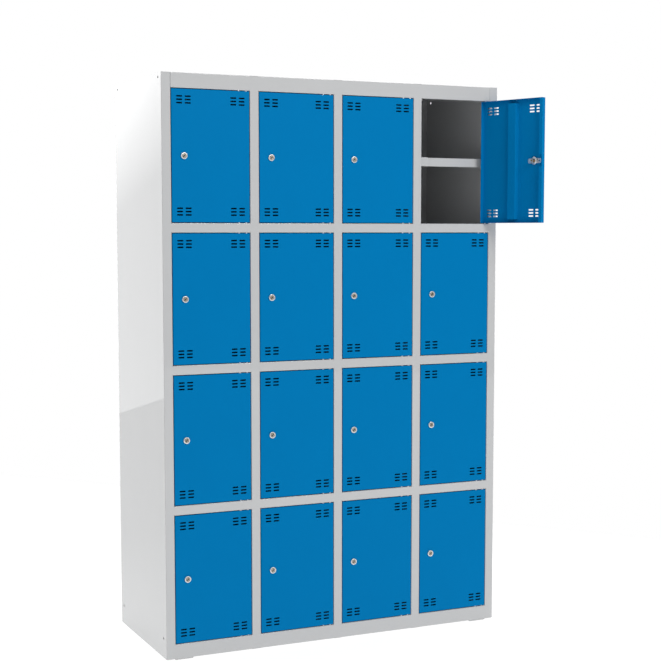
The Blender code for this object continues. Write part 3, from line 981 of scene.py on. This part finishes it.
def lock_body_mesh():
    bm = bmesh.new()
    land = PLUG_BORE_RADIUS + RIM_LAND
    dish = -RIM_FRONT + RIM_LAND - BORE_EDGE
    profile = [(-RIM_BACK, BARREL_RADIUS), (-RIM_BACK, RIM_RADIUS)]
    profile += rounded((-RIM_FRONT + RIM_EDGE, RIM_RADIUS - RIM_EDGE), RIM_EDGE, 90, 180)
    profile += [(-RIM_FRONT, land), (dish, PLUG_BORE_RADIUS + BORE_EDGE)]
    profile += [(dish + BORE_EDGE, PLUG_BORE_RADIUS), (BARREL_LENGTH, PLUG_BORE_RADIUS)]
    profile += [(BARREL_LENGTH, BARREL_RADIUS - THREAD_DEPTH)]
    turns = int((BARREL_LENGTH - THREAD_START) / THREAD_PITCH)
    for turn in range(turns):
        crest = BARREL_LENGTH - (turn + 0.5) * THREAD_PITCH
        profile += [(crest, BARREL_RADIUS), (crest - THREAD_PITCH / 2, BARREL_RADIUS - THREAD_DEPTH)]
    profile += [(THREAD_START - THREAD_PITCH / 2, BARREL_RADIUS)]
    turned(bm, profile)
    nut = bmesh.new()
    made = bmesh.ops.create_cone(nut, cap_ends=True, segments=6, radius1=NUT_RADIUS, radius2=NUT_RADIUS,
                                 depth=NUT_BACK - NUT_FRONT)
    bmesh.ops.bevel(nut, geom=nut.edges[:], offset=NUT_EDGE, segments=2, affect="EDGES", profile=0.5)
    stand = Matrix.Translation((0, (NUT_FRONT + NUT_BACK) / 2, 0)) @ Matrix.Rotation(math.pi / 2, 4, "X")
    bmesh.ops.transform(nut, matrix=stand, verts=nut.verts[:])
    if max(vert.co.x for vert in nut.verts) > max(vert.co.z for vert in nut.verts):
        bmesh.ops.transform(nut, matrix=Matrix.Rotation(math.radians(30), 4, "Y"), verts=nut.verts[:])
    plate = bmesh.new()
    long, high = PLATE_LENGTH / 2, PLATE_HEIGHT / 2
    block(plate, (-long, PLATE_FRONT, -high), (long, PLATE_BACK, high))
    deep = [e for e in plate.edges if abs(e.verts[0].co.y - e.verts[1].co.y) > MM]
    bmesh.ops.bevel(plate, geom=deep, offset=PLATE_CORNER, segments=8, affect="EDGES", profile=0.5)
    punches = bmesh.new()
    for side in (-1, 1):
        hole = (side * PLATE_HOLE_OFFSET, PLATE_FRONT, 0)
        round_cutter(punches, hole, PLATE_HOLE_RADIUS, PUNCH_STROKE, "Y", 24)
    round_cutter(punches, (0, PLATE_FRONT, 0), BARREL_RADIUS - THREAD_DEPTH / 2, PUNCH_STROKE, "Y", 48)
    joined(bm, nut, 1)
    joined(bm, punched(plate, punches), 1)
    return finished("lock_body", bm, bright_nickel, zinc_plate)


def lock_place(tag):
    """A lock's own place: its axis along Y, with the door's face at y = 0."""
    return door_place(tag) @ Matrix.Translation((lock_x, leaf_face, 0))


lock_body = lock_body_mesh()
for tag in locks:
    nodes = [f"lock_body_{tag}"]
    placed(f"lock_housing_{tag}", lock_body, f"door_{tag}", nodes, lock_place(tag))


# ---------------------------------------------------------------------------------------------------
# Lock plugs. A nickel plated plug with a key slot at 45 degrees turns in each housing; the slot's walls and
# the wafers in it are near black, as painted shade. On its squared brass tail a hexagon-headed screw holds
# the steel cam, which half a turn brings behind the keeper.

PLUG_RADIUS = 6.5 * MM
PLUG_EDGE = 0.5 * MM
PLUG_SUNK = 0.15 * MM  # behind the front of the rim
PLUG_LAND = 1.1 * MM  # from the plug's side to the inner edge of its flat ring
HAIR = 0.01 * MM  # a turned profile stops this far from its axis
KEY_SLOT_LENGTH = 9 * MM
KEY_SLOT_WIDTH = 2.6 * MM
KEY_SLOT_DEPTH = 9 * MM
KEYWAY_DISH = 0.5 * MM
WAFER_BACK = 0.5 * MM  # from the dished face to the first wafer
PLUG_LENGTH = 8.3 * MM
TAIL_RADIUS = 4 * MM  # over the corners of its square
CAM_REACH = 14.5 * MM
CAM_WIDTH = 11 * MM
CAM_FRONT = 18.3 * MM
CAM_BACK = 19.3 * MM
CAM_CORNER = 4 * MM
SCREW_RADIUS = 4.2 * MM
SCREW_EDGE = 0.3 * MM
SCREW_BACK = 19.9 * MM


def lock_plug_mesh():
    bm = bmesh.new()
    face = -RIM_FRONT + PLUG_SUNK
    dish = face + KEYWAY_DISH
    ring = PLUG_RADIUS - PLUG_LAND
    shoulder = PLUG_RADIUS - PLUG_EDGE
    profile = [(dish, HAIR), (dish, ring - KEYWAY_DISH), (face, ring), (face, shoulder)]
    profile += [(face + PLUG_EDGE, PLUG_RADIUS), (PLUG_LENGTH - PLUG_EDGE, PLUG_RADIUS)]
    profile += [(PLUG_LENGTH, shoulder), (PLUG_LENGTH, HAIR)]
    turned(bm, profile)
    keyway = bmesh.new()
    block(keyway, (-KEY_SLOT_LENGTH / 2, -2 * RIM_FRONT, -KEY_SLOT_WIDTH / 2),
          (KEY_SLOT_LENGTH / 2, KEY_SLOT_DEPTH - RIM_FRONT, KEY_SLOT_WIDTH / 2))
    bmesh.ops.transform(keyway, matrix=Matrix.Rotation(math.radians(-45), 4, "Y"), verts=keyway.verts[:])
    bm = punched(bm, keyway)
    # The keyway's walls take the near-black brass: painted shade in the slot.
    for each in bm.faces:
        middle_of_face = each.calc_center_median()
        inside = math.hypot(middle_of_face.x, middle_of_face.z) < shoulder
        if inside and dish < middle_of_face.y < PLUG_LENGTH - MM:
            each.material_index = 3
    # Wafers just behind the plug's face, near black: painted shade that fills the slot.
    wafers = bmesh.new()
    block(wafers, (-KEY_SLOT_LENGTH / 2, dish + WAFER_BACK, -KEY_SLOT_WIDTH / 2),
          (KEY_SLOT_LENGTH / 2, KEY_SLOT_DEPTH - RIM_FRONT, KEY_SLOT_WIDTH / 2))
    bmesh.ops.transform(wafers, matrix=Matrix.Rotation(math.radians(-45), 4, "Y"), verts=wafers.verts[:])
    joined(bm, wafers, 3)
    tail = [(PLUG_LENGTH, HAIR), (PLUG_LENGTH, TAIL_RADIUS), (CAM_FRONT, TAIL_RADIUS), (CAM_FRONT, HAIR)]
    turned(bm, tail, 4, 2)
    cam = bmesh.new()
    block(cam, (-CAM_WIDTH / 2, CAM_FRONT, -CAM_WIDTH / 2), (CAM_REACH, CAM_BACK, CAM_WIDTH / 2))
    deep = [e for e in cam.edges if abs(e.verts[0].co.y - e.verts[1].co.y) > MM]
    bmesh.ops.bevel(cam, geom=deep, offset=CAM_CORNER, segments=6, affect="EDGES", profile=0.5)
    joined(bm, cam, 1)
    screw = [(CAM_BACK, HAIR), (CAM_BACK, SCREW_RADIUS)]
    screw += [(SCREW_BACK, SCREW_RADIUS - SCREW_EDGE), (SCREW_BACK, HAIR)]
    turned(bm, screw, 6, 2)
    return finished("lock_plug", bm, satin_nickel, zinc_plate, bare_brass, keyway_painted_shade)


lock_plug = lock_plug_mesh()
for tag in locks:
    core = f"lock_core_{tag}"
    placed(f"lock_plug_{tag}", lock_plug, core, [core], lock_place(tag))
